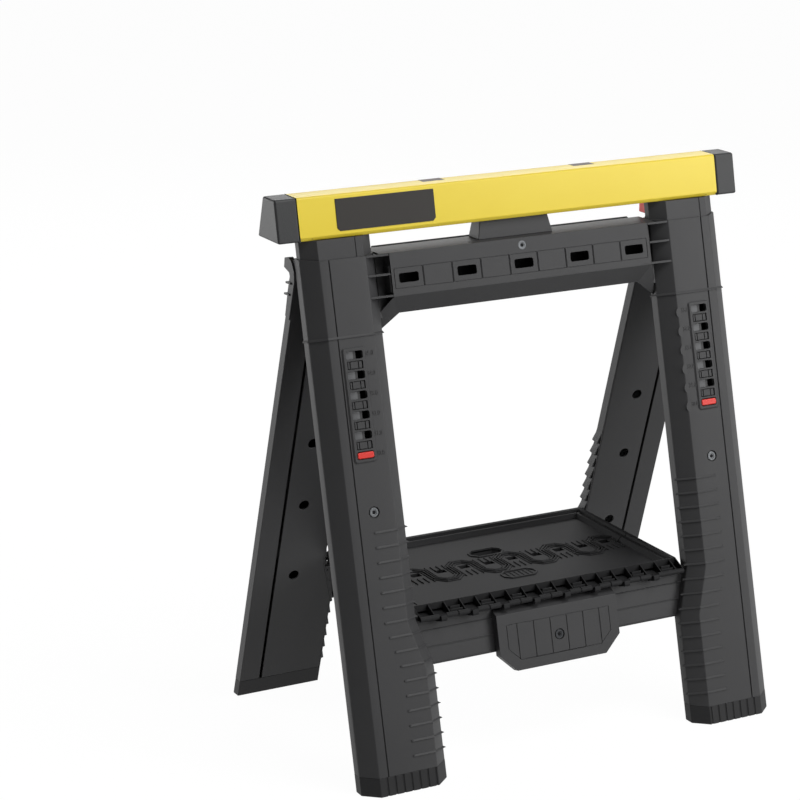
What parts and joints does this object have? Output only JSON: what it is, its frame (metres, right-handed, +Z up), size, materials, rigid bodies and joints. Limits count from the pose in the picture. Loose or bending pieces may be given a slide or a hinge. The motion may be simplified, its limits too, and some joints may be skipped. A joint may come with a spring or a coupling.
{
  "type": "folding builders trestle",
  "caption": "Folding work trestle with a steel beam on height-adjustable posts, moulded leg frames hinged at the top and a folding tool tray between them.",
  "frame": {"origin": "on the floor, midway between the front and rear feet and between the left and right legs", "axes": "+X along the beam to the right as seen from the front, +Y to the rear frame, +Z up"},
  "size_m": [0.709, 0.437, 0.762],
  "materials": {
    "grey_plastic": "fine grained",
    "foot_plastic": "fine grained",
    "cap_plastic": "fine grained",
    "yellow_steel": "powder coat",
    "red_plastic": "satin",
    "steel": "zinc plated",
    "plate": "smooth",
    "grip_rubber": "matt"
  },
  "bodies": {
    "front_frame": {"front_left_leg": "grey_plastic", "front_right_leg": "grey_plastic", "front_left_cover": "grey_plastic", "front_right_cover": "grey_plastic", "front_left_foot": "foot_plastic", "front_right_foot": "foot_plastic", "front_top_rail": "grey_plastic", "front_shelf_rail": "grey_plastic", "front_rail_panel": "grey_plastic", "front_frame_screws": "steel", "front_cover_screws": "steel", "beam_rest": "grey_plastic", "fold_pins": "steel", "tray_front_rod": "steel"},
    "rear_frame": {"rear_left_leg": "grey_plastic", "rear_right_leg": "grey_plastic", "rear_left_cover": "grey_plastic", "rear_right_cover": "grey_plastic", "rear_left_foot": "foot_plastic", "rear_right_foot": "foot_plastic", "rear_top_rail": "grey_plastic", "rear_shelf_rail": "grey_plastic", "rear_cover_screws": "steel"},
    "beam": {"top_beam": "yellow_steel", "left_end_cap": "cap_plastic", "right_end_cap": "cap_plastic", "left_post": "grey_plastic", "right_post": "grey_plastic", "name_plate": "plate", "grip_pads": "grip_rubber", "beam_screws": "steel"},
    "left_release": {"left_trigger": "red_plastic", "left_strap": "red_plastic"},
    "right_release": {"right_trigger": "red_plastic", "right_strap": "red_plastic"},
    "left_bolt": {"left_catch": "red_plastic"},
    "right_bolt": {"right_catch": "red_plastic"},
    "tray_front": {"tray_front_half": "grey_plastic", "tray_middle_rod": "steel"},
    "tray_rear": {"tray_rear_half": "grey_plastic", "tray_rear_rod": "steel"}
  },
  "joints": [
    {"name": "fold", "type": "hinge", "parent": "front_frame", "child": "rear_frame", "pos_m": [0, -0.02124, 0.654], "axis": [1, 0, 0], "range_deg": [-31.6, 0]},
    {"name": "tray_front_turn", "type": "hinge", "parent": "front_frame", "child": "tray_front", "pos_m": [0, -0.14899, 0.207], "axis": [1, 0, 0], "range_deg": [0, 72.4]},
    {"name": "tray_rear_turn", "type": "hinge", "parent": "tray_front", "child": "tray_rear", "pos_m": [0, -0.01117, 0.201], "axis": [1, 0, 0], "range_deg": [-173, 0]},
    {"name": "beam_height", "type": "slide", "parent": "front_frame", "child": "beam", "axis": [0, 0.2436, 0.9699], "range_m": [0, 0.13095]},
    {"name": "left_release_pull", "type": "slide", "parent": "beam", "child": "left_release", "axis": [0, 0.2436, 0.9699], "range_m": [0, 0.005], "stiffness_N_per_m": 300},
    {"name": "right_release_pull", "type": "slide", "parent": "beam", "child": "right_release", "axis": [0, 0.2436, 0.9699], "range_m": [0, 0.005], "stiffness_N_per_m": 300},
    {"name": "left_bolt_slide", "type": "slide", "parent": "beam", "child": "left_bolt", "axis": [0, 0.9699, -0.2436], "range_m": [0, 0.004]},
    {"name": "right_bolt_slide", "type": "slide", "parent": "beam", "child": "right_bolt", "axis": [0, 0.9699, -0.2436], "range_m": [0, 0.004]}
  ],
  "couplings": [
    {"joint": "tray_front_turn", "follows": "fold", "ratio": -2.2858},
    {"joint": "tray_rear_turn", "follows": "fold", "ratio": 5.4662},
    {"joint": "left_bolt_slide", "follows": "left_release_pull", "ratio": 0.8},
    {"joint": "right_bolt_slide", "follows": "right_release_pull", "ratio": 0.8}
  ]
}
